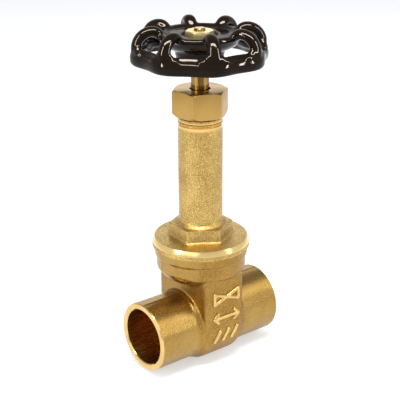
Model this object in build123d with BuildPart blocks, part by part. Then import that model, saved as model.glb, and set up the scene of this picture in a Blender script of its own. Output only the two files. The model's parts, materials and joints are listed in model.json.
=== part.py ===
from build123d import *
import os
from math import radians, tan

os.makedirs("parts", exist_ok=True)

# Brass gate valve for 3/4 inch copper tube, soldered into the line at both ends.
# +X runs along the pipe, +Z up the stem, and the origin is under the pipe axis on
# the foot. Every height below is measured from the pipe axis, in millimetres.

# Pipe ends and waterway
axis_height = 14.8
half_length = 29.0
socket_radius = 13.65
cup_radius = 11.15
cup_depth = 19.0
waterway_radius = 9.5
rim_chamfer = 0.35

# Body: a flat chest with a round bottom, under a round neck
chest_half_width = 9.6
chest_radius = 15.9
chest_centre = 0.7
chest_top = 22.8
chest_rounding = 2.8
wall = 1.9
neck_underside = 18.4
neck_root_radius = 9.3
neck_underside_bend = 9.8
neck_lip_radius = 16.5
neck_lip_height = 22.3
neck_lip_bend = 3.2
neck_radius = 17.8
neck_shoulder = 24.4
neck_collar_radius = 18.15
neck_collar_bottom = 29.0
neck_top = 32.5
collar_step = 0.3
gasket_height = 0.8
gasket_radius = 16.3

# Wedge gate and its seats
wedge_angle = 5.0
wedge_half_thickness = 3.9
wedge_radius = 11.3
wedge_top = 16.4
wedge_head_half_width = 7.2
seat_gap = 0.15
rail_half_width = 1.2
rail_tip = 10.4
rail_root = 14.5
rail_bottom = -8.0
slide_gap = 0.3
wedge_flank_centre = 2.0
wedge_flank_height = 12.0

# Stem and its drive thread: seven turns lift the gate by 21 mm
thread_lead = 3.0
thread_root_radius = 3.4
thread_crest_radius = 4.6
ridge_sink = 0.2
ridge_root_half = 1.0
ridge_crest_half = 0.62
groove_play = 0.22
drive_thread_bottom = 22.9
drive_thread_turns = 11
nut_thread_start_turn = 6
nut_thread_turns = 5
head_radius = 4.3
head_bottom = 11.0
head_height = 2.6
stem_neck_radius = 2.6
collar_radius = 6.2
collar_bottom = 17.2
collar_top = 20.2
collar_slope = 1.2
stem_radius = 3.4
square_bottom = 106.4
square_top = 113.4
square_side = 5.2
square_top_side = 4.6
square_rounding = 0.7
stem_end_radius = 2.4
stem_end_thread_depth = 0.3
stem_end_thread_pitch = 0.8
stem_end = 117.8

# Bonnet
spigot_bottom = 23.2
spigot_radius = 14.4
spigot_bore_radius = 12.5
bonnet_thread_radius = 15.0
bonnet_thread_bottom = 24.9
female_thread_gap = 0.1
bonnet_thread_pitch = 1.5
bonnet_thread_turns = 5
flange_radius = 19.2
flange_bevel_bottom = 33.7
flange_top_radius = 18.1
flange_top = 36.1
flange_crown = 36.9
hexagon_across_flats = 23.3
hexagon_top_across_flats = 21.8
hexagon_top = 41.6
hexagon_turn = 27.5
tube_radius = 8.5
hexagon_wall = 0.8
bead_radius = 9.2
bead_height = 0.7
dome_radius = 9.3
dome_bottom = 33.5
dome_shoulder = 36.0
dome_top = 38.0
backseat_radius = 6.8
backseat_top = 41.5
nut_bore_bottom = 42.4
nut_bore_top = 55.0
nut_bore_radius = 3.75
nut_bore_lead_in = 1.0
relief_radius = 5.2
packing_bottom = 78.0
packing_radius = 6.4
tube_top = 91.5
tube_thread_radius = 8.65
tube_thread_depth = 0.4
tube_thread_bottom = 81.6
tube_thread_first = 82.4
tube_thread_pitch = 1.6
tube_thread_turns = 6

# Packing, gland and packing nut
ring_count = 4
ring_height = 2.4
washer_height = 1.2
running_gap = 0.08
gland_height = 4.2
gland_head_radius = 7.4
gland_head_height = 1.2
packing_nut_across_flats = 19.0
packing_nut_bottom = 85.0
packing_nut_top = 95.0
packing_nut_chamfer_radius = 10.1
packing_nut_low_chamfer = 4.4
packing_nut_high_chamfer = 3.6
packing_nut_chamfer_reach = 18.8
packing_nut_turn = 37.5
packing_nut_hole_radius = 4.0

# Handwheel
lobe_count = 8
lobe_turn = 19.5
wheel_bottom = 105.2
ring_depth = 5.6
ring_corner_radius = 26.8
ring_corner_rounding = 7.0
ring_width = 4.6
ring_rounding = 1.8
arch_depth = 4.1
arch_width = 5.2
arch_foot_radius = 23.7
arch_spring_height = 111.3
arch_bend_radius = 6.0
arch_return_radius = 3.2
arch_return_angle = 55
web_radius = 16.4
web_bottom = 114.3
web_top = 116.6
web_rounding = 0.8
web_bend_radius = 11.6
web_bend_height = 112.6
dish_radius = 12.8
dish_edge = 0.6
dish_floor = 115.6
recess_radius = 6.6
recess_floor = 114.2
hub_bottom = 105.0
hub_radius = 9.8
hub_taper = 0.6
hub_taper_top = 109.6

# Nut that holds the wheel on
wheel_nut_across_flats = 9.4
wheel_nut_height = 2.7

# Section plane through the stem along the pipe, and the plane across the pipe
section = Plane(origin=(0, 0, axis_height), x_dir=(1, 0, 0), z_dir=(0, -1, 0))
across = Plane(origin=(0, 0, axis_height), x_dir=(0, 1, 0), z_dir=(1, 0, 0))


def level(height):
    # Horizontal plane at a height above the pipe axis
    return Plane.XY.offset(axis_height + height)


def chest_outline(radius):
    # Round-bottomed outline of the chest seen along the pipe, for a sketch on the plane across
    with Locations((0, chest_centre)):
        Circle(radius)
    with Locations((0, (chest_centre + chest_top) / 2)):
        Rectangle(2 * radius, chest_top - chest_centre)


def thread_teeth(root, crest, bottom, pitch, turns):
    # Row of ring-shaped ridges on a thread that never moves, for a sketch to be revolved
    base = 0.36 * pitch
    tip = 0.10 * pitch
    for turn in range(turns):
        height = bottom + turn * pitch
        Polygon(
            (root, height - base), (crest, height - tip), (crest, height + tip), (root, height + base),
            align=None,
        )


def save(piece, name):
    piece.part.label = name
    export_step(piece.part, "parts/" + name + ".step")


# Seat stubs: the two ends of the waterway, faced off to the slope of the wedge
seat_slope = tan(radians(wedge_angle))
with BuildPart() as seat_stubs:
    with BuildSketch(across):
        Circle(wedge_radius)
    extrude(amount=chest_half_width, both=True)
    low_opening = wedge_half_thickness + seat_gap - wedge_radius * seat_slope
    high_opening = wedge_half_thickness + seat_gap + wedge_radius * seat_slope
    with BuildSketch(section):
        Polygon(
            (-low_opening, -wedge_radius), (low_opening, -wedge_radius),
            (high_opening, wedge_radius), (-high_opening, wedge_radius),
            align=None,
        )
    extrude(amount=wedge_radius, both=True, mode=Mode.SUBTRACT)

# Cast relief on the side of the chest: a bow-tie valve symbol, a double arrow and three bars
relief_height = 0.45
with BuildPart() as cast_marks:
    with BuildSketch(section):
        with Locations((0, 14.4)):
            Polygon((-5.6, 3.0), (0, 0.5), (5.6, 3.0), (5.6, -3.0), (0, -0.5), (-5.6, -3.0), align=None)
        with Locations((0, 5.2)):
            Rectangle(7.0, 1.3)
            Polygon((-6.2, 0), (-3.0, 2.3), (-3.0, -2.3), align=None)
            Polygon((6.2, 0), (3.0, -2.3), (3.0, 2.3), align=None)
        with Locations((-4.4, -4.2), (0, -4.2), (4.4, -4.2)):
            Polygon((-1.9, -2.2), (-0.3, -2.2), (1.9, 2.2), (0.3, 2.2), align=None)
    extrude(amount=chest_radius + relief_height)
    with BuildSketch(across):
        chest_outline(chest_radius + relief_height)
    extrude(amount=chest_half_width, both=True, mode=Mode.INTERSECT)
    with BuildSketch(across):
        chest_outline(chest_radius - relief_height)
    extrude(amount=chest_half_width, both=True, mode=Mode.SUBTRACT)

# Body
with BuildPart() as valve_body:
    with BuildSketch(across):
        chest_outline(chest_radius)
        with Locations((0, -axis_height)):
            Rectangle(chest_radius, axis_height, align=(Align.CENTER, Align.MAX), mode=Mode.SUBTRACT)
    extrude(amount=chest_half_width, both=True)
    side_edges = valve_body.faces().filter_by(Axis.X).edges()
    fillet(side_edges.filter_by_position(Axis.Z, -1, axis_height + chest_top - 1), chest_rounding)
    with BuildSketch(section):
        with BuildLine():
            Line((0, neck_underside), (neck_root_radius, neck_underside))
            RadiusArc(
                (neck_root_radius, neck_underside), (neck_lip_radius, neck_lip_height), -neck_underside_bend
            )
            RadiusArc((neck_lip_radius, neck_lip_height), (neck_radius, neck_shoulder), -neck_lip_bend)
            Polyline(
                (neck_radius, neck_shoulder), (neck_radius, neck_collar_bottom - collar_step),
                (neck_collar_radius, neck_collar_bottom), (neck_collar_radius, neck_top),
                (0, neck_top), (0, neck_underside),
            )
        make_face()
    revolve(axis=Axis.Z)
    with BuildSketch(across):
        Circle(socket_radius)
    extrude(amount=half_length, both=True)
    add(cast_marks.part)
    # Gate chamber, then the threaded mouth for the bonnet
    with BuildSketch(across):
        chest_outline(chest_radius - wall)
    extrude(amount=chest_half_width - wall, both=True, mode=Mode.SUBTRACT)
    with BuildSketch(level(chest_top)):
        Circle(bonnet_thread_radius + female_thread_gap)
    extrude(amount=neck_top - chest_top, mode=Mode.SUBTRACT)
    with BuildSketch(level(neck_top - gasket_height)):
        Circle(gasket_radius)
    extrude(amount=gasket_height, mode=Mode.SUBTRACT)
    add(seat_stubs.part)
    # Guide rails for the wedge, on the two long walls of the chamber
    with BuildSketch(level(rail_bottom)):
        for side in (-1, 1):
            with Locations((0, side * (rail_tip + rail_root) / 2)):
                Rectangle(2 * rail_half_width, rail_root - rail_tip)
    extrude(amount=chest_top - rail_bottom)
    with BuildSketch(section):
        thread_teeth(
            bonnet_thread_radius + female_thread_gap, spigot_radius + female_thread_gap,
            bonnet_thread_bottom + bonnet_thread_pitch / 2, bonnet_thread_pitch, bonnet_thread_turns - 1,
        )
    revolve(axis=Axis.Z)
    with BuildSketch(across):
        Circle(waterway_radius)
    extrude(amount=half_length, both=True, mode=Mode.SUBTRACT)
    for end in (-1, 1):
        with BuildSketch(across.offset(end * (half_length - cup_depth))):
            Circle(cup_radius)
        extrude(amount=end * cup_depth, mode=Mode.SUBTRACT)
    chamfer(valve_body.faces().filter_by(Axis.X).group_by(Axis.X)[0].edges(), rim_chamfer)
    chamfer(valve_body.faces().filter_by(Axis.X).group_by(Axis.X)[-1].edges(), rim_chamfer)
save(valve_body, "valve_body")

# Gasket between the body and the bonnet
with BuildPart() as bonnet_gasket:
    with BuildSketch(level(neck_top - gasket_height)):
        Circle(gasket_radius - running_gap / 2)
        Circle(bonnet_thread_radius + female_thread_gap, mode=Mode.SUBTRACT)
    extrude(amount=gasket_height)
save(bonnet_gasket, "bonnet_gasket")

# Wedge gate: a tapered disc with a slotted head that hangs on the stem
with BuildPart() as wedge_gate:
    with BuildSketch(across):
        Circle(wedge_radius)
        with Locations((0, wedge_flank_centre)):
            Rectangle(2 * wedge_radius, wedge_flank_height)
        with Locations((0, wedge_top / 2)):
            Rectangle(2 * wedge_head_half_width, wedge_top)
    extrude(amount=chest_half_width - wall, both=True)
    bottom_half = wedge_half_thickness - wedge_radius * seat_slope
    top_half = wedge_half_thickness + wedge_top * seat_slope
    with BuildSketch(section):
        Polygon(
            (-bottom_half, -wedge_radius), (bottom_half, -wedge_radius),
            (top_half, wedge_top), (-top_half, wedge_top),
            align=None,
        )
    extrude(amount=wedge_radius, both=True, mode=Mode.INTERSECT)
    # Grooves that run on the guide rails
    with BuildSketch(level(-wedge_radius)):
        for side in (-1, 1):
            with Locations((0, side * (rail_tip - slide_gap + wedge_radius) / 2)):
                Rectangle(2 * (rail_half_width + slide_gap), wedge_radius - rail_tip + slide_gap)
    extrude(amount=wedge_radius + wedge_top, mode=Mode.SUBTRACT)
    # T-slot for the head of the stem, open towards the pipe ends
    with BuildSketch(across):
        with Locations((0, head_bottom - slide_gap)):
            Rectangle(
                2 * (head_radius + slide_gap), head_height + 2 * slide_gap, align=(Align.CENTER, Align.MIN)
            )
            Rectangle(
                2 * (stem_neck_radius + slide_gap), wedge_top - head_bottom + slide_gap,
                align=(Align.CENTER, Align.MIN),
            )
    extrude(amount=chest_half_width, both=True, mode=Mode.SUBTRACT)
save(wedge_gate, "wedge_gate")


def helical_ridge(root, crest, root_half, crest_half, bottom, turns):
    # Trapezoid swept up a right-hand helix about the stem
    with BuildPart() as ridge:
        with BuildLine() as path:
            Helix(
                pitch=thread_lead, height=turns * thread_lead, radius=root,
                center=(0, 0, axis_height + bottom),
            )
        with BuildSketch(section) as tooth:
            with Locations((0, bottom)):
                Polygon(
                    (root, -root_half), (crest, -crest_half), (crest, crest_half), (root, root_half),
                    align=None,
                )
        sweep(sections=tooth.sketch, path=path.line, is_frenet=True)
    return ridge.part


# Stem: head, backseat collar, drive thread, plain shank, tapered square and threaded end
stem_ridge = helical_ridge(
    thread_root_radius - ridge_sink, thread_crest_radius, ridge_root_half, ridge_crest_half,
    drive_thread_bottom, drive_thread_turns,
)
stem_end_root = stem_end_radius - stem_end_thread_depth
with BuildPart() as stem:
    with BuildSketch(section):
        Polygon(
            (0, head_bottom), (head_radius, head_bottom), (head_radius, head_bottom + head_height),
            (stem_neck_radius, head_bottom + head_height), (stem_neck_radius, collar_bottom),
            (collar_radius, collar_bottom), (collar_radius, collar_top),
            (stem_radius, collar_top + collar_slope), (stem_radius, square_bottom), (0, square_bottom),
            align=None,
        )
    revolve(axis=Axis.Z)
    with BuildSketch(level(square_bottom)):
        RectangleRounded(square_side, square_side, square_rounding)
    with BuildSketch(level(square_top)):
        RectangleRounded(square_top_side, square_top_side, square_rounding)
    loft()
    with BuildSketch(section):
        Polygon(
            (0, square_top), (stem_end_root, square_top), (stem_end_root, stem_end - stem_end_thread_depth),
            (stem_end_root - stem_end_thread_depth, stem_end), (0, stem_end),
            align=None,
        )
        thread_teeth(
            stem_end_root, stem_end_radius, square_top + stem_end_thread_pitch, stem_end_thread_pitch, 4
        )
    revolve(axis=Axis.Z)
    add(stem_ridge)
save(stem, "stem")

# Bonnet: screwed spigot, bevelled flange, hexagon and the long tube that holds nut and packing
nut_ridge = helical_ridge(
    nut_bore_radius - ridge_sink, thread_crest_radius + ridge_sink,
    ridge_root_half + groove_play, ridge_crest_half + groove_play,
    drive_thread_bottom + nut_thread_start_turn * thread_lead, nut_thread_turns,
)
hexagon_core = hexagon_top_across_flats / 2 - hexagon_wall
with BuildPart() as hexagon:
    with BuildSketch(level(flange_top)):
        RegularPolygon(hexagon_across_flats / 2, 6, major_radius=False, rotation=hexagon_turn)
    with BuildSketch(level(hexagon_top)):
        RegularPolygon(hexagon_top_across_flats / 2, 6, major_radius=False, rotation=hexagon_turn)
    loft()
    with BuildSketch(level(flange_top)):
        Circle(hexagon_core - hexagon_wall / 2)
    extrude(amount=hexagon_top - flange_top, mode=Mode.SUBTRACT)

tube_thread_root = tube_thread_radius - tube_thread_depth
with BuildPart() as bonnet:
    with BuildSketch(section):
        with BuildLine():
            Polyline(
                (spigot_bore_radius, spigot_bottom), (spigot_radius, spigot_bottom),
                (spigot_radius, neck_top), (flange_radius, neck_top),
                (flange_radius, flange_bevel_bottom), (flange_top_radius, flange_top),
                (hexagon_core, flange_crown), (hexagon_core, hexagon_top), (bead_radius, hexagon_top),
                (bead_radius, hexagon_top + bead_height),
                (tube_radius, hexagon_top + bead_height + bead_radius - tube_radius),
                (tube_radius, tube_thread_bottom), (tube_thread_root, tube_thread_bottom),
                (tube_thread_root, tube_top), (packing_radius, tube_top),
                (packing_radius, packing_bottom), (relief_radius, packing_bottom),
                (relief_radius, nut_bore_top), (nut_bore_radius, nut_bore_top),
                (nut_bore_radius, nut_bore_bottom + nut_bore_lead_in), (relief_radius, nut_bore_bottom),
                (backseat_radius, backseat_top), (backseat_radius, dome_top),
                (dome_radius, dome_top), (dome_radius, dome_shoulder),
                (spigot_bore_radius, dome_bottom), (spigot_bore_radius, spigot_bottom),
            )
        make_face()
        thread_teeth(
            spigot_radius, bonnet_thread_radius, bonnet_thread_bottom, bonnet_thread_pitch,
            bonnet_thread_turns,
        )
        thread_teeth(
            tube_thread_root, tube_thread_radius, tube_thread_first, tube_thread_pitch, tube_thread_turns
        )
    revolve(axis=Axis.Z)
    add(hexagon.part)
    add(nut_ridge, mode=Mode.SUBTRACT)
save(bonnet, "bonnet")

# Packing: a washer, four rings and the gland that presses them
with BuildPart() as packing_washer:
    with BuildSketch(level(packing_bottom)):
        Circle(packing_radius - running_gap)
        Circle(stem_radius + 2 * running_gap, mode=Mode.SUBTRACT)
    extrude(amount=washer_height)
save(packing_washer, "packing_washer")

for number in range(ring_count):
    with BuildPart() as packing_ring:
        with BuildSketch(level(packing_bottom + washer_height + number * ring_height)):
            Circle(packing_radius - running_gap / 2)
            Circle(stem_radius + running_gap, mode=Mode.SUBTRACT)
        extrude(amount=ring_height)
        fillet(packing_ring.edges().filter_by(GeomType.CIRCLE), 0.4)
    save(packing_ring, "packing_ring_" + str(number + 1))

gland_bottom = packing_bottom + washer_height + ring_count * ring_height
with BuildPart() as packing_gland:
    with BuildSketch(level(gland_bottom)):
        Circle(packing_radius - running_gap)
    extrude(amount=gland_height)
    with BuildSketch(level(gland_bottom + gland_height - gland_head_height)):
        Circle(gland_head_radius)
    extrude(amount=gland_head_height)
    with BuildSketch(level(gland_bottom)):
        Circle(stem_radius + running_gap)
    extrude(amount=gland_height, mode=Mode.SUBTRACT)
save(packing_gland, "packing_gland")

# Packing nut
with BuildPart() as packing_nut:
    with BuildSketch(level(packing_nut_bottom)):
        RegularPolygon(packing_nut_across_flats / 2, 6, major_radius=False, rotation=packing_nut_turn)
    extrude(amount=packing_nut_top - packing_nut_bottom)
    with BuildSketch(section):
        Polygon(
            (0, packing_nut_bottom), (packing_nut_chamfer_radius, packing_nut_bottom),
            (packing_nut_chamfer_reach, packing_nut_bottom + packing_nut_low_chamfer),
            (packing_nut_chamfer_reach, packing_nut_top - packing_nut_high_chamfer),
            (packing_nut_chamfer_radius, packing_nut_top), (0, packing_nut_top),
            align=None,
        )
    revolve(axis=Axis.Z, mode=Mode.INTERSECT)
    with BuildSketch(section):
        Polygon(
            (0, packing_nut_bottom), (tube_thread_radius + female_thread_gap, packing_nut_bottom),
            (tube_thread_radius + female_thread_gap, gland_bottom + gland_height),
            (packing_nut_hole_radius, gland_bottom + gland_height),
            (packing_nut_hole_radius, packing_nut_top), (0, packing_nut_top),
            align=None,
        )
    revolve(axis=Axis.Z, mode=Mode.SUBTRACT)
    with BuildSketch(section):
        thread_teeth(
            tube_thread_radius + female_thread_gap, tube_thread_root + female_thread_gap,
            tube_thread_first + 2.5 * tube_thread_pitch, tube_thread_pitch, tube_thread_turns - 2,
        )
    revolve(axis=Axis.Z)
save(packing_nut, "packing_nut")

# Handwheel: bell-shaped hub, round web, eight arches and an eight-sided ring
with BuildPart() as wheel_ring:
    with BuildSketch(level(wheel_bottom)) as ring_outside:
        RegularPolygon(ring_corner_radius, lobe_count, rotation=lobe_turn)
        fillet(ring_outside.vertices(), ring_corner_rounding)
    extrude(amount=ring_depth)
    with BuildSketch(level(wheel_bottom)) as ring_inside:
        RegularPolygon(ring_corner_radius - ring_width, lobe_count, rotation=lobe_turn)
        fillet(ring_inside.vertices(), ring_corner_rounding - ring_width / 2)
    extrude(amount=ring_depth, mode=Mode.SUBTRACT)
    flat_edges = wheel_ring.faces().filter_by(Axis.Z).edges()
    fillet(flat_edges, ring_rounding)

with BuildPart() as wheel_arch:
    crown_radius = arch_foot_radius - arch_bend_radius
    crown_height = arch_spring_height + arch_bend_radius
    with BuildLine(section) as arch_path:
        Line((arch_foot_radius, wheel_bottom + ring_depth / 2), (arch_foot_radius, arch_spring_height))
        CenterArc((crown_radius, arch_spring_height), arch_bend_radius, 0, 90)
        CenterArc((crown_radius, crown_height - arch_return_radius), arch_return_radius, 90, arch_return_angle)
    with BuildSketch(level(wheel_bottom + ring_depth / 2)):
        with Locations((arch_foot_radius, 0)):
            Ellipse(arch_depth / 2, arch_width / 2)
    sweep(path=arch_path.line)

with BuildPart() as handwheel:
    with BuildSketch(section):
        with BuildLine():
            Polyline(
                (0, recess_floor), (recess_radius, recess_floor), (recess_radius, dish_floor),
                (dish_radius - dish_edge, dish_floor), (dish_radius + dish_edge, web_top),
                (web_radius - web_rounding, web_top), (web_radius, web_top - web_rounding),
                (web_radius, web_bottom + web_rounding), (web_radius - web_rounding, web_bottom),
            )
            ThreePointArc(
                (web_radius - web_rounding, web_bottom), (web_bend_radius, web_bend_height),
                (hub_radius + hub_taper, hub_taper_top),
            )
            Polyline(
                (hub_radius + hub_taper, hub_taper_top), (hub_radius, hub_bottom),
                (0, hub_bottom), (0, recess_floor),
            )
        make_face()
    revolve(axis=Axis.Z)
    add(wheel_ring.part)
    with PolarLocations(0, lobe_count, start_angle=lobe_turn):
        add(wheel_arch.part)
    # Tapered square hole in the hub, with a round mouth below for the shank
    with BuildSketch(level(square_bottom)):
        RectangleRounded(square_side + 2 * running_gap, square_side + 2 * running_gap, square_rounding)
    with BuildSketch(level(square_top)):
        RectangleRounded(
            square_top_side + 2 * running_gap, square_top_side + 2 * running_gap, square_rounding
        )
    loft(mode=Mode.SUBTRACT)
    with BuildSketch(level(square_top)):
        RectangleRounded(
            square_top_side + 2 * running_gap, square_top_side + 2 * running_gap, square_rounding
        )
    extrude(amount=recess_floor - square_top, mode=Mode.SUBTRACT)
    with BuildSketch(level(hub_bottom)):
        Circle(stem_radius + running_gap)
    extrude(amount=square_bottom - hub_bottom, mode=Mode.SUBTRACT)
save(handwheel, "handwheel")

# Nut on the threaded end of the stem
with BuildPart() as wheel_nut:
    with BuildSketch(level(recess_floor)):
        RegularPolygon(wheel_nut_across_flats / 2, 6, major_radius=False, rotation=hexagon_turn)
    extrude(amount=wheel_nut_height)
    nut_top = recess_floor + wheel_nut_height
    with BuildSketch(section):
        Polygon(
            (0, recess_floor), (wheel_nut_across_flats, recess_floor),
            (wheel_nut_across_flats / 2, nut_top), (0, nut_top),
            align=None,
        )
    revolve(axis=Axis.Z, mode=Mode.INTERSECT)
    with BuildSketch(level(recess_floor)):
        Circle(stem_end_radius + running_gap / 2)
    extrude(amount=wheel_nut_height, mode=Mode.SUBTRACT)
save(wheel_nut, "wheel_nut")
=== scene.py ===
import json
from math import asin, cos, pi, radians, sin, sqrt, tan

import bmesh
import bpy
from mathutils import Matrix, Vector

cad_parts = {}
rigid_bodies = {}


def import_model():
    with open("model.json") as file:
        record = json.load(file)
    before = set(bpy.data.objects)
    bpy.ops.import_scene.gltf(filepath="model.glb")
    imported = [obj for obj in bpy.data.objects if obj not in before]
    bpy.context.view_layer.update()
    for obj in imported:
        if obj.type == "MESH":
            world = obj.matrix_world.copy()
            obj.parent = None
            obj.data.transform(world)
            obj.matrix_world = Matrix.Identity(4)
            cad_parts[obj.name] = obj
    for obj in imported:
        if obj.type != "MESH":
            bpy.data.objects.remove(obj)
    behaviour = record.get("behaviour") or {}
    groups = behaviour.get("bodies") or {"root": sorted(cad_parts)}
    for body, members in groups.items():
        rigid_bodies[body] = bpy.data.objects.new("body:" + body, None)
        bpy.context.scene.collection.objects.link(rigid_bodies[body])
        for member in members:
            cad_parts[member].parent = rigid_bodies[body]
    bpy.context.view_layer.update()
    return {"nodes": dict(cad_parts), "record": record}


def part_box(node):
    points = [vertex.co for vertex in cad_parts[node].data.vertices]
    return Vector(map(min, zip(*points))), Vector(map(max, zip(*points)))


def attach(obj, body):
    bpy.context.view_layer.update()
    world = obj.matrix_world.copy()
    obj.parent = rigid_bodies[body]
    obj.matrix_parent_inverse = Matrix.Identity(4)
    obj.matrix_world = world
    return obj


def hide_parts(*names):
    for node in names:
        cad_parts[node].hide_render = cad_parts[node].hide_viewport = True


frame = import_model()
print("frame loaded:", len(frame["nodes"]), "nodes")

# shapes are worked out in millimetres above the pipe axis, and finishPiece places them in metres
mm = 0.001
mounts = {mount["name"]: mount for mount in frame["record"]["mounts"]}
pipeHeight = mounts["inlet_socket"]["pos_m"][2] / mm
cupRadius = mounts["inlet_socket"]["dims"]["r_mm"]
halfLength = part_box("valve_body")[1][0] / mm
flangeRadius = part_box("bonnet")[1][0] / mm
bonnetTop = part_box("bonnet")[1][2] / mm - pipeHeight
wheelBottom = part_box("handwheel")[0][2] / mm - pipeHeight
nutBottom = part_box("packing_nut")[0][2] / mm - pipeHeight
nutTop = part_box("packing_nut")[1][2] / mm - pipeHeight
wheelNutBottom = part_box("wheel_nut")[0][2] / mm - pipeHeight
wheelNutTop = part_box("wheel_nut")[1][2] / mm - pipeHeight

overrun = 1  # how far a blank or a tool runs past the faces that it is cut to
outside = 25  # a radius outside the body and the bonnet
fineSteps = 128  # segments round a casting
ringSteps = 192  # and round the wheel
boreSteps = 64
smallBoreSteps = 48


class Sum:
    # wraps a number socket, so that sums on it add Math nodes
    def __init__(self, finish, socket):
        self.finish = finish
        self.socket = socket

    def combine(self, operation, first, second):
        node = self.finish.add("ShaderNodeMath", {"operation": operation}, {0: first, 1: second})
        return Sum(self.finish, node.outputs[0])

    def __add__(self, other):
        return self.combine("ADD", self, other)

    def __radd__(self, other):
        return self.combine("ADD", other, self)

    def __sub__(self, other):
        return self.combine("SUBTRACT", self, other)

    def __rsub__(self, other):
        return self.combine("SUBTRACT", other, self)

    def __mul__(self, other):
        return self.combine("MULTIPLY", self, other)

    def __rmul__(self, other):
        return self.combine("MULTIPLY", other, self)

    def __abs__(self):
        return self.combine("ABSOLUTE", self, 0.0)


class Finish:
    # a new node material, with its shader and the place on the object
    def __init__(self, name):
        self.material = bpy.data.materials.new(name)
        self.material.use_nodes = True
        self.tree = self.material.node_tree
        self.shader = self.tree.nodes["Principled BSDF"]
        self.place = self.add("ShaderNodeTexCoord", {}, {}).outputs["Object"]

    def add(self, kind, settings, sockets):
        node = self.tree.nodes.new(kind)
        for key, value in settings.items():
            setattr(node, key, value)
        for key, value in sockets.items():
            self.feed(node.inputs[key], value)
        return node

    def feed(self, socket, value):
        if isinstance(value, Sum):
            value = value.socket
        if isinstance(value, bpy.types.NodeSocket):
            self.tree.links.new(value, socket)
        elif socket.type == "RGBA":
            socket.default_value = (*value, 1)
        else:
            socket.default_value = value

    def noise(self, size, detail, roughness=0.5, place=None):
        # size is that of the noise's patches, in millimetres
        node = self.add("ShaderNodeTexNoise", {}, {
            "Vector": place or self.place, "Scale": 1 / (size * mm), "Detail": detail,
            "Roughness": roughness,
        })
        return Sum(self, node.outputs[0])

    def marks(self, across, along, detail, roughness):
        # noise drawn out round the stem or along it: patches of these two sizes, in millimetres
        scale = (1 / (across * mm), 1 / (across * mm), 1 / (along * mm))
        place = self.add("ShaderNodeMapping", {}, {"Vector": self.place, "Scale": scale}).outputs[0]
        return self.noise(1 / mm, detail, roughness, place)

    def clamped(self, value, low, high, outLow=0.0, outHigh=1.0):
        node = self.add(
            "ShaderNodeMapRange", {"clamp": True}, {0: value, 1: low, 2: high, 3: outLow, 4: outHigh}
        )
        return Sum(self, node.outputs[0])

    def mixColour(self, factor, first, second):
        node = self.add("ShaderNodeMix", {"data_type": "RGBA"}, {0: factor, 6: first, 7: second})
        return node.outputs[2]

    def bump(self, height, strength, depth):
        # depth in millimetres
        node = self.add(
            "ShaderNodeBump", {}, {"Height": height, "Strength": strength, "Distance": depth * mm}
        )
        return node.outputs[0]

    def set(self, **values):
        for key, value in values.items():
            self.feed(self.shader.inputs[key.replace("_", " ")], value)


casting = {
    "patch": 9, "grain": 0.6, "grainRoughness": 0.65, "facet": 0.34, "tint": (0.36, 0.62),
    "facetsSeen": (0.56, 0.70), "depth": 0.16, "skimFade": 1.2, "skimFlatter": 0.6,
}


def makeCastBrass(name, look):
    # tumbled casting: a fine grain, tiny bright facets, and faint patches of tarnish
    finish = Finish(name)
    patches = finish.noise(casting["patch"], 3)
    grain = finish.noise(casting["grain"], 3, casting["grainRoughness"])
    facets = finish.noise(casting["facet"], 1)
    tint = finish.clamped(patches * 0.35 + grain * 0.65, *casting["tint"])
    sparkle = finish.clamped(facets, *casting["facetsSeen"])
    colour = finish.mixColour(tint, look["dark"], look["light"])
    colour = finish.mixColour(sparkle * look["sparkle"], colour, look["bright"])
    rough = finish.clamped(facets, 0.3, 0.7, look["rough"], look["smooth"])
    height = grain * 0.6 + facets * 0.4
    if "socketFrom" in look:
        # the sockets were skimmed in the lathe, so they are paler and smoother than the chest
        split = finish.add("ShaderNodeSeparateXYZ", {}, {0: finish.place})
        along = abs(Sum(finish, split.outputs[0]))
        start = look["socketFrom"]
        skimmed = finish.clamped(along, start * mm, (start + casting["skimFade"]) * mm)
        skimColour = finish.mixColour(tint, look["skimDark"], look["skimLight"])
        colour = finish.mixColour(skimmed, colour, skimColour)
        rough = rough - skimmed * look["skimSmoother"]
        height = height * (1 - skimmed * casting["skimFlatter"])
    finish.set(Base_Color=colour, Metallic=1.0)
    finish.set(Roughness=rough)
    finish.set(Normal=finish.bump(height, look["grain"], casting["depth"]))
    return finish.material


def makeTurnedBrass(name, look):
    # faint tool marks that run round the stem axis
    finish = Finish(name)
    patches = finish.noise(7, 2)
    marks = finish.marks(14, look["pitch"], 2, 0.5)
    finish.set(Base_Color=finish.mixColour(patches, look["dark"], look["light"]), Metallic=1.0)
    finish.set(Roughness=finish.clamped(marks, 0.3, 0.7, look["smooth"], look["rough"]))
    finish.set(Normal=finish.bump(marks, look["marks"], 0.05))
    return finish.material


def makeReflectionStripedBrass(name, look):
    # painted reflections and painted shade: stripes of colour along the stem, from bright brass to nearly
    # black, stand in for the surroundings and the dark wheel that the polished stem reflects; the
    # roughness and the bump follow the same stripes, as draw marks
    finish = Finish(name)
    reflectionStripes = finish.marks(look["streak"], look["length"], 2, 0.55)
    tint = finish.clamped(reflectionStripes, 0.42, 0.58)
    finish.set(Base_Color=finish.mixColour(tint, look["dark"], look["light"]), Metallic=1.0)
    finish.set(Roughness=finish.clamped(reflectionStripes, 0.35, 0.65, look["rough"], look["smooth"]))
    finish.set(Normal=finish.bump(reflectionStripes, look["marks"], 0.05))
    return finish.material


enamel = {
    "dark": (0.0012, 0.0007, 0.0004), "light": (0.0034, 0.0018, 0.0010), "tint": (1.0, 0.86, 0.72),
    "ior": 1.22, "peel": 2.6, "smooth": 0.06, "rough": 0.11, "bump": 0.16, "depth": 0.25,
}


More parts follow.
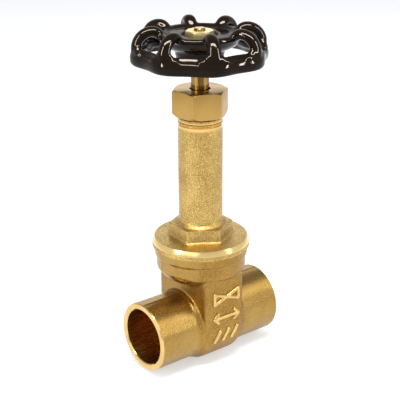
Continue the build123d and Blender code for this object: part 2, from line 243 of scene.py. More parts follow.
def makeBlackEnamel():
    # thick dipped enamel, brown-black, with a slow orange peel
    finish = Finish("blackEnamel")
    patches = finish.noise(6, 2)
    peel = finish.noise(enamel["peel"], 1)
    finish.set(Base_Color=finish.mixColour(patches, enamel["dark"], enamel["light"]))
    finish.set(IOR=enamel["ior"], Specular_Tint=enamel["tint"])
    finish.set(Roughness=finish.clamped(peel, 0.3, 0.7, enamel["smooth"], enamel["rough"]))
    finish.set(Normal=finish.bump(peel, enamel["bump"], enamel["depth"]))
    return finish.material


def makeSoftFinish(name, look):
    # pressed fibre or graphite: matt, with a fine fleck
    finish = Finish(name)
    fleck = finish.noise(look["fleck"], 4, 0.7)
    finish.set(Base_Color=finish.mixColour(fleck, look["dark"], look["light"]))
    finish.set(Roughness=finish.clamped(fleck, 0.3, 0.7, look["smooth"], look["rough"]))
    finish.set(Normal=finish.bump(fleck, 0.4, 0.1))
    return finish.material


castBrass = makeCastBrass("castBrass", {
    "light": (0.56, 0.378, 0.112), "dark": (0.27, 0.160, 0.038), "bright": (0.88, 0.68, 0.33),
    "sparkle": 0.7, "smooth": 0.30, "rough": 0.52, "grain": 1.0,
})
# darker and more orange than castBrass: partly the chest's own cast colour, partly painted shade for the
# dim orange light bounced between chest, neck and sockets
bodyBrass = makeCastBrass("bodyBrass", {
    "light": (0.375, 0.218, 0.050), "dark": (0.230, 0.120, 0.022), "bright": (0.76, 0.54, 0.22),
    "sparkle": 0.3, "smooth": 0.32, "rough": 0.48, "grain": 0.65, "socketFrom": 11.0,
    "skimLight": (0.40, 0.250, 0.073), "skimDark": (0.30, 0.176, 0.042), "skimSmoother": 0.10,
})
# painted highlight: the raised marks get a paler brass than the casting, for the light that catches their
# edges
markBrass = makeCastBrass("markBrass", {
    "light": (0.72, 0.500, 0.180), "dark": (0.52, 0.330, 0.095), "bright": (0.88, 0.68, 0.33),
    "sparkle": 0.3, "smooth": 0.26, "rough": 0.38, "grain": 0.3,
})
gateBrass = makeCastBrass("gateBrass", {
    "light": (0.62, 0.41, 0.17), "dark": (0.50, 0.31, 0.11), "bright": (0.75, 0.55, 0.25),
    "sparkle": 0.3, "smooth": 0.28, "rough": 0.42, "grain": 0.4,
})
turnedBrass = makeTurnedBrass("turnedBrass", {
    "light": (0.86, 0.640, 0.290), "dark": (0.76, 0.530, 0.200), "pitch": 0.25, "marks": 0.10,
    "smooth": 0.16, "rough": 0.26,
})
boreBrass = makeTurnedBrass("boreBrass", {
    "light": (0.62, 0.37, 0.11), "dark": (0.50, 0.28, 0.07), "pitch": 0.3, "marks": 0.2,
    "smooth": 0.22, "rough": 0.32,
})
nutBrass = makeTurnedBrass("nutBrass", {
    "light": (0.47, 0.295, 0.086), "dark": (0.39, 0.235, 0.064), "pitch": 0.4, "marks": 0.12,
    "smooth": 0.30, "rough": 0.40,
})
threadBrass = makeTurnedBrass("threadBrass", {
    "light": (0.78, 0.540, 0.210), "dark": (0.52, 0.320, 0.100), "pitch": 0.3, "marks": 0.1,
    "smooth": 0.10, "rough": 0.20,
})
wheelNutBrass = makeTurnedBrass("wheelNutBrass", {
    "light": (0.95, 0.80, 0.44), "dark": (0.86, 0.68, 0.32), "pitch": 0.3, "marks": 0.2,
    "smooth": 0.34, "rough": 0.50,
})
# painted reflections and painted shade: the stem gets a dark brass, striped to nearly black, for the dark
# wheel above it that it reflects
stemBrass = makeReflectionStripedBrass("stemBrass", {
    "light": (0.42, 0.255, 0.078), "dark": (0.10, 0.050, 0.014), "streak": 2.0, "length": 60,
    "marks": 0.1, "smooth": 0.12, "rough": 0.24,
})
blackEnamel = makeBlackEnamel()
fibre = makeSoftFinish("fibre", {
    "light": (0.36, 0.09, 0.05), "dark": (0.20, 0.04, 0.025), "fleck": 0.6,
    "smooth": 0.55, "rough": 0.85,
})
packing = makeSoftFinish("packing", {
    "light": (0.10, 0.10, 0.11), "dark": (0.03, 0.03, 0.035), "fleck": 0.5,
    "smooth": 0.55, "rough": 0.85,
})
print("materials made")


def bowed(start, end, sag, steps=8):
    # points of an arc that bulges to the right of the way from start to end
    chord = Vector(end) - Vector(start)
    side = Vector((chord.y, -chord.x)).normalized()
    radius = (chord.length ** 2 / 4 + sag ** 2) / (2 * sag)
    centre = (Vector(start) + Vector(end)) / 2 - side * (radius - sag)
    turn = 2 * asin(chord.length / 2 / radius)
    spoke = Vector(start) - centre
    return [tuple(centre + Matrix.Rotation(turn * i / steps, 2) @ spoke) for i in range(steps + 1)]


def threadTeeth(root, crest, bottom, pitch, turns):
    # outline of a row of ridges from root to crest, upwards
    rootHalf = 0.36 * pitch
    crestHalf = 0.10 * pitch
    points = []
    for turn in range(turns):
        height = bottom + turn * pitch
        points += [(root, height - rootHalf), (crest, height - crestHalf)]
        points += [(crest, height + crestHalf), (root, height + rootHalf)]
    return points


def lathe(bm, points, steps=96):
    # a profile of radius and height turned about the stem axis, closed at the axis or on itself
    verts = [bm.verts.new((radius, 0, height)) for radius, height in points]
    edges = [bm.edges.new(pair) for pair in zip(verts, verts[1:])]
    if points[0][0] > 0:
        edges.append(bm.edges.new((verts[-1], verts[0])))
    bmesh.ops.spin(
        bm, geom=verts + edges, cent=(0, 0, 0), axis=(0, 0, 1), angle=2 * pi, steps=steps, use_merge=True
    )
    bmesh.ops.remove_doubles(bm, verts=bm.verts, dist=1e-4)


def layAlongPipe(bm):
    # turns a lathed shape from the stem axis to the pipe axis
    bmesh.ops.transform(bm, matrix=Matrix.Rotation(pi / 2, 4, "Y"), verts=bm.verts)


def hexagonBar(bm, acrossFlats, topAcrossFlats, low, high, turn):
    # turn is the angle of one corner
    bmesh.ops.create_cone(
        bm, cap_ends=True, segments=6, radius1=acrossFlats / 2 / cos(pi / 6),
        radius2=topAcrossFlats / 2 / cos(pi / 6), depth=high - low,
        matrix=Matrix.Translation((0, 0, (low + high) / 2)) @ Matrix.Rotation(radians(turn - 90), 4, "Z"),
    )


def block(bm, size, centre):
    bmesh.ops.create_cube(bm, size=1, matrix=Matrix.Translation(centre) @ Matrix.Diagonal((*size, 1)))


def scratchObject(bm, materials=()):
    bmesh.ops.recalc_face_normals(bm, faces=bm.faces)
    mesh = bpy.data.meshes.new("scratch")
    bm.to_mesh(mesh)
    bm.free()
    for material in materials:
        mesh.materials.append(material)
    thing = bpy.data.objects.new("scratch", mesh)
    bpy.context.scene.collection.objects.link(thing)
    return thing


def joinMeshes(bm, *parts):
    for part in parts:
        mesh = bpy.data.meshes.new("part")
        part.to_mesh(mesh)
        part.free()
        bm.from_mesh(mesh)


def applied(thing):
    # the object's mesh with its modifiers applied
    graph = bpy.context.evaluated_depsgraph_get()
    result = bmesh.new()
    result.from_mesh(bpy.data.meshes.new_from_object(thing.evaluated_get(graph)))
    bpy.data.objects.remove(thing)
    return result


def castSkin(bm, voxel, passes):
    # fuses overlapping solids into one skin, and rounds its corners as a sand mould does
    thing = scratchObject(bm)
    fuse = thing.modifiers.new("fuse", "REMESH")
    fuse.mode = "VOXEL"
    fuse.voxel_size = voxel
    soften = thing.modifiers.new("soften", "SMOOTH")
    soften.factor = 0.5
    soften.iterations = passes
    return applied(thing)


slotFillers = (castBrass, turnedBrass, boreBrass, markBrass)  # finishPiece gives the real ones


def combined(bm, tool, operation="DIFFERENCE"):
    # machining keeps its sharp edges, and the tool's faces keep their own material slot
    thing = scratchObject(bm, slotFillers)
    cutter = scratchObject(tool, slotFillers)
    step = thing.modifiers.new("machine", "BOOLEAN")
    step.operation = operation
    step.object = cutter
    step.solver = "EXACT"
    result = applied(thing)
    bpy.data.objects.remove(cutter)
    return result


def withFinish(bm, slot):
    # sets the material slot that all of a tool's faces leave on the piece
    for face in bm.faces:
        face.material_index = slot
    return bm


def finishPiece(name, bm, materials, body, replaced, smoothAngle=32):
    # places the mesh in metres, puts it on the body that it rides on, and hides the node that it stands
    # for
    place = Matrix.Scale(mm, 4) @ Matrix.Translation((0, 0, pipeHeight))
    bmesh.ops.transform(bm, matrix=place, verts=bm.verts)
    bmesh.ops.recalc_face_normals(bm, faces=bm.faces)
    mesh = bpy.data.meshes.new(name)
    bm.to_mesh(mesh)
    bm.free()
    for material in materials:
        mesh.materials.append(material)
    mesh.shade_smooth()
    mesh.set_sharp_from_angle(angle=radians(smoothAngle))
    piece = bpy.data.objects.new(name, mesh)
    bpy.context.scene.collection.objects.link(piece)
    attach(piece, body)
    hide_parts(replaced)
    print(name, "made:", len(mesh.polygons), "faces")


chest = {
    "halfWidth": 9.6, "radius": 15.9, "centre": 0.7, "top": 22.8, "rounding": 2.8, "wall": 1.9,
    "socketRadius": 13.65, "shoulder": 1.6, "shoulderHeight": 0.45, "shoulderSlope": 0.3,
    "rimChamfer": 0.35, "cupDepth": 19.0, "waterway": 9.5, "seatRadius": 11.3, "seatOpening": 4.05,
    "openingWidth": 30, "openingTall": 2.02, "wedgeAngle": 5.0, "railTip": 10.4, "railDepth": 6,
    "railHalfWidth": 1.2, "railBottom": -8.0, "outlineSteps": 40, "voxel": 0.38, "passes": 5,
}
neck = {
    "underside": 18.4, "rootRadius": 9.3, "undersideSag": 0.88, "lipRadius": 16.5, "lipHeight": 22.3,
    "lipSag": 0.25, "radius": 17.6, "shoulder": 24.4, "collarBottom": 29.0, "collarSlope": 0.2,
    "collarRadius": 18.35, "top": 32.5, "mouthRadius": 15.1, "mouthOverlap": 0.5,
    "gasketRadius": 16.3, "gasketHeight": 0.8, "threadCrest": 14.5, "threadBottom": 25.65,
    "threadPitch": 1.5, "threadTurns": 4,
}
seam = {
    "neckAngle": 171.5, "neckDepth": 1.2, "neckWidth": 0.55, "neckSink": 0.2,
    "socketDepth": 1.0, "socketWidth": 0.5, "socketSink": 0.28,
}
marks = {
    "height": 0.8, "width": 1.5, "voxel": 0.16, "passes": 3,
    "bowTie": [(-5.9, 12.7), (-5.9, 16.9), (5.9, 12.7), (5.9, 16.9), (-5.9, 12.7)],
    "arrow": [(-4.0, 8.1), (-5.9, 6.2), (-4.0, 4.3)],
    "shaft": [(-5.7, 6.2), (5.7, 6.2)],
    "bar": [(-1.1, -3.9), (1.1, 0.3)],
    "barShift": 4.2,
}


def vertsIn(geometry):
    return [item for item in geometry if isinstance(item, bmesh.types.BMVert)]


def edgesIn(geometry):
    return [item for item in geometry if isinstance(item, bmesh.types.BMEdge)]


def chestBlank(bm, grow=0.0, rounding=0.0):
    # the chest's outline seen along the pipe is flat on top, round below, and cut off at the foot
    radius = chest["radius"] + grow
    foot = -pipeHeight - min(grow, 0)
    outline = [(radius, chest["top"]), (-radius, chest["top"])]
    steps = chest["outlineSteps"]
    for step in range(steps + 1):
        angle = pi + pi * step / steps
        outline.append((radius * cos(angle), max(chest["centre"] + radius * sin(angle), foot)))
    start = -chest["halfWidth"] - min(grow, 0)
    face = bm.faces.new([bm.verts.new((start, y, z)) for y, z in outline])
    grown = bmesh.ops.extrude_face_region(bm, geom=[face])["geom"]
    bmesh.ops.translate(bm, vec=(-2 * start, 0, 0), verts=vertsIn(grown))
    bmesh.ops.recalc_face_normals(bm, faces=bm.faces)
    if rounding:
        ends = [face for face in bm.faces if abs(face.normal.x) > 0.9]
        edges = {edge for face in ends for edge in face.edges}
        bmesh.ops.bevel(
            bm, geom=list(edges), offset=rounding, offset_type="OFFSET", segments=6, profile=0.5,
            affect="EDGES", material=-1, clamp_overlap=False,
        )


def onChest(x, z, proud):
    # the point on the near side of the chest at this place, this far above its surface
    radius = chest["radius"]
    drop = chest["centre"] - z
    depth = radius if drop < 0 else sqrt(radius ** 2 - drop ** 2)
    return Vector((x, -depth - proud, z))


def raisedStroke(bm, start, end):
    # a round bar with round ends, sunk into the chest
    radius = marks["width"] / 2
    first = onChest(*start, marks["height"] - radius)
    last = onChest(*end, marks["height"] - radius)
    turn = Vector((0, 0, 1)).rotation_difference(last - first).to_matrix().to_4x4()
    bmesh.ops.create_cone(
        bm, cap_ends=True, segments=16, radius1=radius, radius2=radius,
        depth=(last - first).length, matrix=Matrix.Translation((first + last) / 2) @ turn,
    )
    for centre in (first, last):
        bmesh.ops.create_icosphere(
            bm, subdivisions=2, radius=radius, matrix=Matrix.Translation(centre)
        )


def raisedMarks():
    # a bow tie, a double arrow and three slanted bars stand for the cast lettering
    bm = bmesh.new()
    strokes = list(zip(marks["bowTie"], marks["bowTie"][1:]))
    for side in (-1, 1):
        arrow = [(side * x, z) for x, z in marks["arrow"]]
        strokes += list(zip(arrow, arrow[1:]))
    strokes.append(tuple(marks["shaft"]))
    for shift in (-1, 0, 1):
        strokes.append(tuple((x + shift * marks["barShift"], z) for x, z in marks["bar"]))
    for start, end in strokes:
        raisedStroke(bm, start, end)
    return castSkin(bm, marks["voxel"], marks["passes"])


def seams(bm):
    # thin fins where the halves of the mould met: on the neck and along the sockets
    low = neck["shoulder"]
    high = neck["top"]
    for angle in (seam["neckAngle"], seam["neckAngle"] + 180):
        turn = Matrix.Rotation(radians(angle), 4, "Z")
        centre = turn @ Vector((neck["radius"] - seam["neckSink"], 0, (low + high) / 2))
        size = Matrix.Diagonal((seam["neckDepth"], seam["neckWidth"], high - low, 1))
        bmesh.ops.create_cube(bm, size=1, matrix=Matrix.Translation(centre) @ turn @ size)
    for side in (-1, 1):
        height = side * (chest["socketRadius"] - seam["socketSink"])
        block(bm, (2 * halfLength, seam["socketWidth"], seam["socketDepth"]), (0, 0, height))


def bodySkin():
    bm = bmesh.new()
    chestBlank(bm, 0, chest["rounding"])
    root = (neck["rootRadius"], neck["underside"])
    lip = (neck["lipRadius"], neck["lipHeight"])
    lathe(bm, [
        (0, neck["underside"]), *bowed(root, lip, neck["undersideSag"]),
        *bowed(lip, (neck["radius"], neck["shoulder"]), neck["lipSag"], 4)[1:],
        (neck["radius"], neck["collarBottom"] - neck["collarSlope"]),
        (neck["collarRadius"], neck["collarBottom"]),
        (neck["collarRadius"], neck["top"] + overrun), (0, neck["top"] + overrun),
    ], fineSteps)
    sockets = bmesh.new()
    radius = chest["socketRadius"]
    foot = chest["halfWidth"] + chest["shoulder"]
    slope = chest["shoulderSlope"]
    shoulder = radius + chest["shoulderHeight"]
    end = halfLength + overrun
    lathe(sockets, [
        (0, -end), (radius, -end), (radius, -foot), (shoulder, slope - foot),
        (shoulder, foot - slope), (radius, foot), (radius, end), (0, end),
    ], fineSteps)
    layAlongPipe(sockets)
    joinMeshes(bm, sockets)
    seams(bm)
    bm = castSkin(bm, chest["voxel"], chest["passes"])
    for vert in bm.verts:
        vert.co.z = max(vert.co.z, -pipeHeight)
    # the marks keep slot 3, whose paler brass is a painted highlight
    return combined(bm, withFinish(raisedMarks(), 3), "UNION")


def waterwayTool():
    # bores both cups and the waterway, and faces and chamfers both ends
    tool = bmesh.new()
    cut = chest["rimChamfer"]
    step = halfLength - chest["cupDepth"]
    outer = chest["socketRadius"]
    oneEnd = [
        (chest["waterway"], step), (cupRadius, step), (cupRadius, halfLength - cut),
        (cupRadius + cut, halfLength), (outer - cut, halfLength),
        (outer + overrun, halfLength - cut - overrun), (outer + overrun, halfLength + 3 * overrun),
        (0, halfLength + 3 * overrun),
    ]
    lathe(tool, [(radius, -x) for radius, x in reversed(oneEnd)] + oneEnd)
    layAlongPipe(tool)
    withFinish(tool, 1)
    for face in tool.faces:
        centre = face.calc_center_median()
        if centre.yz.length < cupRadius + 0.01 and abs(centre.x) < halfLength - cut:
            face.material_index = 2
    return tool


def chamberTool():
    # the hollow that the gate slides in, around the two seats and the guide rails
    tool = bmesh.new()
    chestBlank(tool, -chest["wall"])
    slope = tan(radians(chest["wedgeAngle"])) * chest["seatRadius"]
    seats = bmesh.new()
    bmesh.ops.create_cone(
        seats, cap_ends=True, segments=72, radius1=chest["seatRadius"], radius2=chest["seatRadius"],
        depth=2 * chest["halfWidth"], matrix=Matrix.Rotation(pi / 2, 4, "Y"),
    )
    opening = bmesh.new()
    tall = chest["openingTall"] * chest["seatRadius"]
    block(opening, (2 * chest["seatOpening"], chest["openingWidth"], tall), (0, 0, 0))
    for vert in opening.verts:
        vert.co.x += slope * (1 if vert.co.x > 0 else -1) * (1 if vert.co.z > 0 else -1)
    tool = combined(tool, combined(seats, opening))
    rails = bmesh.new()
    depth = chest["railDepth"]
    for side in (-1, 1):
        block(
            rails, (2 * chest["railHalfWidth"], depth, chest["top"] - chest["railBottom"]),
            (0, side * (chest["railTip"] + depth / 2), (chest["top"] + chest["railBottom"]) / 2),
        )
    return combined(tool, rails)


def mouthTool():
    # the threaded mouth for the bonnet, and the recess for the gasket
    tool = bmesh.new()
    mouth = neck["mouthRadius"]
    recess = neck["top"] - neck["gasketHeight"]
    bottom = chest["top"] - neck["mouthOverlap"]
    end = neck["top"] + 3 * overrun
    teeth = threadTeeth(
        mouth, neck["threadCrest"], neck["threadBottom"], neck["threadPitch"], neck["threadTurns"]
    )
    lathe(tool, [
        (0, bottom), (mouth, bottom), *teeth, (mouth, recess), (neck["gasketRadius"], recess),
        (neck["gasketRadius"], neck["top"]), (outside, neck["top"]), (outside, end), (0, end),
    ])
    return tool


def makeBody():
    tool = combined(withFinish(mouthTool(), 1), chamberTool(), "UNION")
    tool = combined(tool, waterwayTool(), "UNION")
    bm = combined(bodySkin(), tool)
    materials = (bodyBrass, threadBrass, boreBrass, markBrass)
    finishPiece("bodyCasting", bm, materials, "housing", "valve_body")


bonnet = {
    "bevelBottom": 34.1, "bevelTopRadius": 18.1, "bevelTop": 36.1, "bevelRise": 0.6, "crown": 36.9,
    "blankBottom": 22, "blankRadius": 16, "rimBottom": 31, "rimRadius": 21, "rimDrop": 0.3,
    "hexagon": 23.3, "hexagonTop": 21.8, "hexagonBottom": 34, "hexagonHeight": 41.6,
    "hexagonTurn": 27.5, "domeInset": 1, "domeDrop": 2, "beadRadius": 9.5, "beadBottom": 1,
    "beadTop": 0.5, "beadBlend": 1.4, "tubeRadius": 8.55,
    "turnedFrom": 80.3, "turnedRise": 0.3, "turnedRadius": 8.5, "threadRoot": 8.15,
    "threadCrest": 8.65, "threadStart": 81.5, "threadSlope": 0.2, "threadFirst": 82.4,
    "threadPitch": 1.6, "threadTurns": 6, "spigotBottom": 23.2, "spigotRadius": 14.4,
    "spigotThread": 15.0, "spigotFirst": 24.9, "spigotPitch": 1.5, "spigotTurns": 5,
    "voxel": 0.38, "passes": 4,
    "bore": [
        (12.5, 22.0), (12.5, 33.5), (9.3, 36.0), (9.3, 38.0), (6.8, 38.0), (6.8, 41.5), (5.2, 42.4),
        (3.75, 43.4), (3.75, 55.0), (5.2, 55.0), (5.2, 78.0), (6.4, 78.0),
    ],
}


def bonnetSkin():
    # the casting before it is machined: the rim, the hexagon with its dome, and the long tube
    bm = bmesh.new()
    low = bonnet["blankBottom"]
    blank = bonnet["blankRadius"]
    rim = bonnet["rimRadius"]
    top = bonnet["hexagonHeight"]
    dome = bonnet["hexagonTop"] / 2
    bead = bonnet["beadRadius"]
    tube = bonnet["tubeRadius"]
    hexagonBar(
        bm, bonnet["hexagon"], bonnet["hexagonTop"], bonnet["hexagonBottom"], top,
        bonnet["hexagonTurn"],
    )
    lathe(bm, [
        (0, low), (blank, low), (blank, bonnet["rimBottom"]), (rim, bonnet["rimBottom"]),
        (rim, bonnet["bevelTop"] - bonnet["rimDrop"]), (dome, bonnet["crown"]),
        (dome - bonnet["domeInset"], top - bonnet["domeDrop"]), (bead, top - bonnet["beadBottom"]),
        (bead, top + bonnet["beadTop"]), (tube, top + bonnet["beadBlend"]),
        (tube, bonnetTop + overrun), (0, bonnetTop + overrun),
    ], fineSteps)
    return castSkin(bm, bonnet["voxel"], bonnet["passes"])


def bonnetEnvelope():
    # what the lathe leaves: the screwed spigot, the bevelled rim and the thread for the packing nut
    tool = bmesh.new()
    root = bonnet["spigotRadius"]
    spigot = threadTeeth(
        root, bonnet["spigotThread"], bonnet["spigotFirst"], bonnet["spigotPitch"],
        bonnet["spigotTurns"],
    )
    neckRoot = bonnet["threadRoot"]
    thread = threadTeeth(
        neckRoot, bonnet["threadCrest"], bonnet["threadFirst"], bonnet["threadPitch"],
        bonnet["threadTurns"],
    )
    lathe(tool, [
        (0, bonnet["spigotBottom"]), (root, bonnet["spigotBottom"]), *spigot,
        (root, neck["top"]), (flangeRadius, neck["top"]), (flangeRadius, bonnet["bevelBottom"]),
        (bonnet["bevelTopRadius"], bonnet["bevelTop"]),
        (outside, bonnet["bevelTop"] + bonnet["bevelRise"]),
        (outside, bonnet["turnedFrom"] + bonnet["turnedRise"]),
        (bonnet["turnedRadius"], bonnet["turnedFrom"]), (bonnet["turnedRadius"], bonnet["threadStart"]),
        (neckRoot, bonnet["threadStart"] + bonnet["threadSlope"]), *thread,
        (neckRoot, bonnetTop), (0, bonnetTop),
    ], fineSteps)
    return tool


def makeBonnet():
    envelope = withFinish(bonnetEnvelope(), 1)
    for face in envelope.faces:
        height = face.calc_center_median().z
        if height > bonnet["turnedFrom"]:
            face.material_index = 2
        elif height < bonnet["bevelBottom"]:
            face.material_index = 0
    bm = combined(bonnetSkin(), envelope, "INTERSECT")
    bore = bmesh.new()
    profile = bonnet["bore"]
    end = bonnetTop + overrun
    lathe(bore, [(0, bonnet["blankBottom"]), *profile, (profile[-1][0], end), (0, end)], boreSteps)
    bm = combined(bm, withFinish(bore, 1))
    materials = (castBrass, turnedBrass, threadBrass)
    finishPiece("bonnetCasting", bm, materials, "housing", "bonnet")


packingNut = {
    "acrossFlats": 19.0, "turn": 37.5, "lowRadius": 9.8, "highRadius": 9.7, "reach": 14.0,
    "lowChamfer": 4.2, "highChamfer": 2.6, "boreRadius": 8.75, "boreTop": 93.0, "holeRadius": 4.0,
    "edge": 0.18,
}
wheelNut = {"acrossFlats": 9.4, "turn": 27.5, "holeRadius": 2.44, "edge": 0.15}
brokenFrom = radians(20)  # an edge of a nut is broken where its faces turn by more than this


def hexagonNut(look, low, high, profile):
    # a hexagon bar turned down to the profile, with its edges broken
    bar = bmesh.new()
    hexagonBar(bar, look["acrossFlats"], look["acrossFlats"], low, high, look["turn"])
    turned = bmesh.new()
    lathe(turned, profile)
    bm = combined(bar, turned, "INTERSECT")
    bmesh.ops.remove_doubles(bm, verts=bm.verts, dist=1e-3)
    shared = [edge for edge in bm.edges if len(edge.link_faces) == 2]
    sharp = [edge for edge in shared if edge.calc_face_angle() > brokenFrom]
    bmesh.ops.bevel(
        bm, geom=sharp, offset=look["edge"], offset_type="OFFSET", segments=2, profile=0.5,
        affect="EDGES", material=-1, clamp_overlap=True,
    )
    return bm


def makePackingNut():
    low = packingNut["lowRadius"]
    high = packingNut["highRadius"]
    reach = packingNut["reach"]
    bm = hexagonNut(packingNut, nutBottom, nutTop, [
        (0, nutBottom), (low, nutBottom), (reach, nutBottom + packingNut["lowChamfer"]),
        (reach, nutTop - packingNut["highChamfer"]), (high, nutTop), (0, nutTop),
    ])
    bore = bmesh.new()
    wide = packingNut["boreRadius"]
    narrow = packingNut["holeRadius"]
    start = nutBottom - overrun
    end = nutTop + overrun
    lathe(bore, [
        (0, start), (wide, start), (wide, packingNut["boreTop"]), (narrow, packingNut["boreTop"]),
        (narrow, end), (0, end),
    ], boreSteps)
    bm = combined(bm, bore)
    finishPiece("packingNutTurned", bm, (nutBrass,), "housing", "packing_nut")


def makeWheelNut():
    half = wheelNut["acrossFlats"] / 2
    bm = hexagonNut(wheelNut, wheelNutBottom, wheelNutTop, [
        (0, wheelNutBottom), (2 * half, wheelNutBottom), (half, wheelNutTop), (0, wheelNutTop),
    ])
    bore = bmesh.new()
    hole = wheelNut["holeRadius"]
    start = wheelNutBottom - overrun
    end = wheelNutTop + overrun
    lathe(bore, [(0, start), (hole, start), (hole, end), (0, end)], smallBoreSteps)
    bm = combined(bm, bore)
    finishPiece("wheelNutTurned", bm, (wheelNutBrass,), "spindle", "wheel_nut")


wheel = {
    "lobes": 8, "turn": 19.5, "ringRadius": 25.25, "ringWave": 0.8, "ringWidth": 4.6,
    "ringDepth": 5.2, "ringCorner": 0.75, "ringRise": 1.5, "ringUndercut": 2.2,
    "archFoot": 23.7, "archFootHeight": 1.5, "archSpring": 111.3, "archBend": 6.0,
    "archReturn": 3.2, "archReach": 62, "archDepth": 3.9, "archWidth": 4.9,
    "fillets": [((1.9, 6.2, 1.7), 110.2), ((1.9, 4.3, 3.2), 110.5)], "filletInset": 0.2,
    "hubRadius": 8.4, "hubBottom": 105.0, "hubShoulder": (9.6, 110.2), "webUnder": (15.6, 114.3),
    "webSag": 0.9, "webRadius": 16.2, "webTop": 116.6, "webEdge": 0.8, "webFoot": 0.7,
    "dishRadius": 12.8, "dishFloor": 115.6, "dishEdge": 0.6, "recessRadius": 6.6,
    "squareSide": 5.36, "squareBottom": 106.4, "squareDepth": 12,
    "shankRadius": 3.48, "shankDepth": 4, "shankDrop": 2.5, "voxel": 0.38, "passes": 12,
}


def wheelRing(bm):
    # a band whose outline waves once for each arch
    half = wheel["ringWidth"] / 2
    middle = wheel["ringRadius"] - half
    high = wheelBottom + wheel["ringDepth"]
    corner = half * wheel["ringCorner"]
    outline = []
    for x, z, first in ((1, 1, 0), (-1, 1, 90), (-1, -1, 180), (1, -1, 270)):
        centre = (middle + x * (half - corner), (high - corner) if z > 0 else (wheelBottom + corner))
        for step in range(5):
            angle = radians(first + 90 * step / 4)
            height = centre[1] + corner * sin(angle)
            height += wheel["ringRise" if z > 0 else "ringUndercut"] * (1 - x) / 2
            outline.append((centre[0] + corner * cos(angle), height))
    lathe(bm, outline, ringSteps)
    for vert in bm.verts:
        angle = Vector((vert.co.x, vert.co.y)).angle_signed(Vector((1, 0)))
        wave = wheel["ringWave"] * cos(wheel["lobes"] * (angle - radians(wheel["turn"])))
        radius = vert.co.xy.length
        vert.co.xy *= (radius + wave) / radius


def wheelArch(bm):
    # one bar: up from the ring, over, and down into the web
    base = wheelBottom + wheel["archFootHeight"]
    spring = wheel["archSpring"]
    circle = bmesh.ops.create_circle(
        bm, cap_ends=False, segments=24, radius=0.5,
        matrix=Matrix.Translation((wheel["archFoot"], 0, base))
        @ Matrix.Diagonal((wheel["archDepth"], wheel["archWidth"], 1, 1)),
    )["verts"]
    foot = list({edge for vert in circle for edge in vert.link_edges})
    grown = bmesh.ops.extrude_edge_only(bm, edges=foot)["geom"]
    verts = vertsIn(grown)
    bmesh.ops.translate(bm, vec=(0, 0, spring - wheelBottom - wheel["archFootHeight"]), verts=verts)
    loop = [edge for edge in edgesIn(grown) if all(vert in verts for vert in edge.verts)]
    crown = wheel["archFoot"] - wheel["archBend"]
    top = spring + wheel["archBend"]
    bends = (
        ((crown, 0, spring), 90),
        ((crown, 0, top - wheel["archReturn"]), wheel["archReach"]),
    )
    for centre, turn in bends:
        grown = bmesh.ops.spin(
            bm, geom=verts + loop, cent=centre, axis=(0, -1, 0), angle=radians(turn), steps=12
        )["geom_last"]
        verts = vertsIn(grown)
        loop = edgesIn(grown)
    bmesh.ops.contextual_create(bm, geom=foot)
    bmesh.ops.contextual_create(bm, geom=loop)
    for size, height in wheel["fillets"]:
        centre = (wheel["archFoot"] - wheel["filletInset"], 0, height)
        bmesh.ops.create_uvsphere(
            bm, u_segments=32, v_segments=16, radius=1,
            matrix=Matrix.Translation(centre) @ Matrix.Diagonal((*size, 1)),
        )


def wheelHub(bm):
    recess = wheel["recessRadius"]
    floor = wheel["dishFloor"]
    dish = wheel["dishRadius"]
    web = wheel["webRadius"]
    top = wheel["webTop"]
    edge = wheel["webEdge"]
    lathe(bm, [
        (0, wheelNutBottom), (recess, wheelNutBottom), (recess, floor),
        (dish - wheel["dishEdge"], floor), (dish + wheel["dishEdge"], top), (web - edge, top),
        (web, top - edge), (web, wheel["webUnder"][1] + wheel["webFoot"]),
        *bowed(wheel["hubShoulder"], wheel["webUnder"], wheel["webSag"])[::-1],
        (wheel["hubRadius"], wheel["hubBottom"]), (0, wheel["hubBottom"]),
    ])


def makeHandwheel():
    bm = bmesh.new()
    wheelRing(bm)
    arch = bmesh.new()
    wheelArch(arch)
    turn = Matrix.Rotation(radians(wheel["turn"]), 3, "Z")
    bmesh.ops.rotate(arch, cent=(0, 0, 0), matrix=turn, verts=arch.verts)
    bmesh.ops.spin(
        arch, geom=arch.verts[:] + arch.edges[:] + arch.faces[:], cent=(0, 0, 0), axis=(0, 0, 1),
        angle=2 * pi * (1 - 1 / wheel["lobes"]), steps=wheel["lobes"] - 1, use_duplicate=True,
    )
    hub = bmesh.new()
    wheelHub(hub)
    for part in (arch, hub):
        bmesh.ops.recalc_face_normals(part, faces=part.faces)
    joinMeshes(bm, arch, hub)
    bm = castSkin(bm, wheel["voxel"], wheel["passes"])
    # the tapered square's hole, and below it a round one for the shank
    tool = bmesh.new()
    side = wheel["squareSide"]
    low = wheel["squareBottom"]
    depth = wheel["squareDepth"]
    block(tool, (side, side, depth), (0, 0, low + depth / 2))
    bmesh.ops.create_cone(
        tool, cap_ends=True, segments=48, radius1=wheel["shankRadius"],
        radius2=wheel["shankRadius"], depth=wheel["shankDepth"],
        matrix=Matrix.Translation((0, 0, low - wheel["shankDrop"])),
    )
    bm = combined(bm, tool)
    finishPiece("handwheelCasting", bm, (blackEnamel,), "spindle", "handwheel", 60)


makeBody()
makeBonnet()
makePackingNut()
makeWheelNut()
makeHandwheel()

cadFinishes = {
    "stem": stemBrass, "wedge_gate": gateBrass, "packing_gland": nutBrass, "packing_washer": nutBrass,
    "bonnet_gasket": fibre, "packing_ring_1": packing, "packing_ring_2": packing,
    "packing_ring_3": packing, "packing_ring_4": packing,
}
for node, material in cadFinishes.items():
    mesh = frame["nodes"][node].data
    mesh.materials.clear()
    mesh.materials.append(material)
print("finishes given to", len(cadFinishes), "nodes")

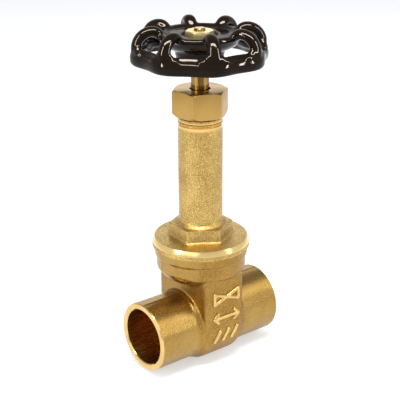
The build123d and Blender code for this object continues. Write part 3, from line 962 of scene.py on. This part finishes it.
studio = {
    "cameraPlace": (-232.6, -294.8, 196.2), "aimHeight": 50.26, "lens": 93.3, "shift": -0.0015,
    "roll": -0.3, "nearest": 0.01, "floorSize": 6.0, "floorColour": (0.55, 0.57, 0.61),
    "floorRoughness": 0.9, "floorGlow": 0.50, "horizon": 0.86, "zenith": 0.38,
    "horizonTop": 0.35, "zenithFrom": 0.70, "lightAim": 0.09,
}


def makeCamera():
    data = bpy.data.cameras.new("camera")
    camera = bpy.data.objects.new("camera", data)
    bpy.context.scene.collection.objects.link(camera)
    place = Vector(studio["cameraPlace"]) + Vector((0, 0, pipeHeight))
    aim = Vector((0, 0, studio["aimHeight"] + pipeHeight))
    camera.location = place * mm
    facing = (aim - place).to_track_quat("-Z", "Y").to_matrix()
    camera.rotation_euler = (facing @ Matrix.Rotation(radians(studio["roll"]), 3, "Z")).to_euler()
    data.lens = studio["lens"]
    data.shift_x = studio["shift"]
    data.clip_start = studio["nearest"]
    bpy.context.scene.camera = camera


def makeFloor():
    bm = bmesh.new()
    bmesh.ops.create_grid(bm, x_segments=1, y_segments=1, size=studio["floorSize"] / 2)
    mesh = bpy.data.meshes.new("floor")
    bm.to_mesh(mesh)
    bm.free()
    floor = bpy.data.objects.new("floor", mesh)
    bpy.context.scene.collection.objects.link(floor)
    finish = Finish("paleFloor")
    finish.set(Base_Color=studio["floorColour"], Roughness=studio["floorRoughness"])
    finish.set(Emission_Color=(1.0, 1.0, 1.0), Emission_Strength=studio["floorGlow"])
    mesh.materials.append(finish.material)


def makeWorld():
    # a bright band round the horizon under a darker ceiling
    world = bpy.data.worlds.new("studioWorld")
    bpy.context.scene.world = world
    world.use_nodes = True
    nodes = world.node_tree.nodes
    links = world.node_tree.links
    direction = nodes.new("ShaderNodeTexCoord")
    split = nodes.new("ShaderNodeSeparateXYZ")
    fade = nodes.new("ShaderNodeMapRange")
    levels = ("horizonTop", "zenithFrom", "horizon", "zenith")
    for socket, level in zip(fade.inputs[1:5], levels):
        socket.default_value = studio[level]
    links.new(direction.outputs["Generated"], split.inputs[0])
    links.new(split.outputs["Z"], fade.inputs[0])
    links.new(fade.outputs[0], nodes["Background"].inputs["Strength"])
    nodes["Background"].inputs["Color"].default_value = (1.0, 1.0, 1.0, 1)


# each soft box's azimuth, height, distance, size, radiance, and what it lights: the wheel, or all
# the rest with the floor
softBoxes = [
    ("leftStrip", 178, 0.33, 0.50, (0.05, 0.40), 18, "brass"),
    ("rightStrip", 300, 0.30, 0.55, (0.04, 0.45), 7, "brass"),
    ("topStrip", 232, 0.80, 0.22, (0.50, 0.12), 34, "brass"),
    ("frontGlow", 196, 0.42, 0.80, (0.90, 0.30), 1.1, "brass"),
    ("rightGlow", 325, 0.50, 0.55, (0.40, 0.30), 2.0, "brass"),
    ("backGlow", 52, 0.32, 0.60, (0.50, 0.30), 1.0, "brass"),
    ("wheelLeft", 176, 0.33, 0.50, (0.06, 0.40), 100, "wheel"),
    ("wheelRight", 300, 0.30, 0.55, (0.05, 0.45), 100, "wheel"),
    ("wheelTop", 232, 0.80, 0.24, (0.90, 0.16), 80, "wheel"),
]


def makeLights():
    middle = Vector((0, 0, studio["lightAim"]))
    lit = {"wheel": bpy.data.collections.new("wheel"), "brass": bpy.data.collections.new("brass")}
    for thing in bpy.context.scene.objects:
        if thing.type == "MESH":
            lit["wheel" if thing.name == "handwheelCasting" else "brass"].objects.link(thing)
    for name, azimuth, height, distance, size, radiance, target in softBoxes:
        turn = radians(azimuth)
        place = Vector((distance * cos(turn), distance * sin(turn), height))
        data = bpy.data.lights.new(name, "AREA")
        data.shape = "RECTANGLE"
        data.size, data.size_y = size
        data.energy = radiance * pi * size[0] * size[1]
        light = bpy.data.objects.new(name, data)
        bpy.context.scene.collection.objects.link(light)
        light.location = place
        light.rotation_euler = (middle - place).to_track_quat("-Z", "Y").to_euler()
        light.light_linking.receiver_collection = lit[target]


makeCamera()
makeFloor()
makeWorld()
makeLights()
bpy.context.scene.view_settings.view_transform = "Standard"
print("studio made")
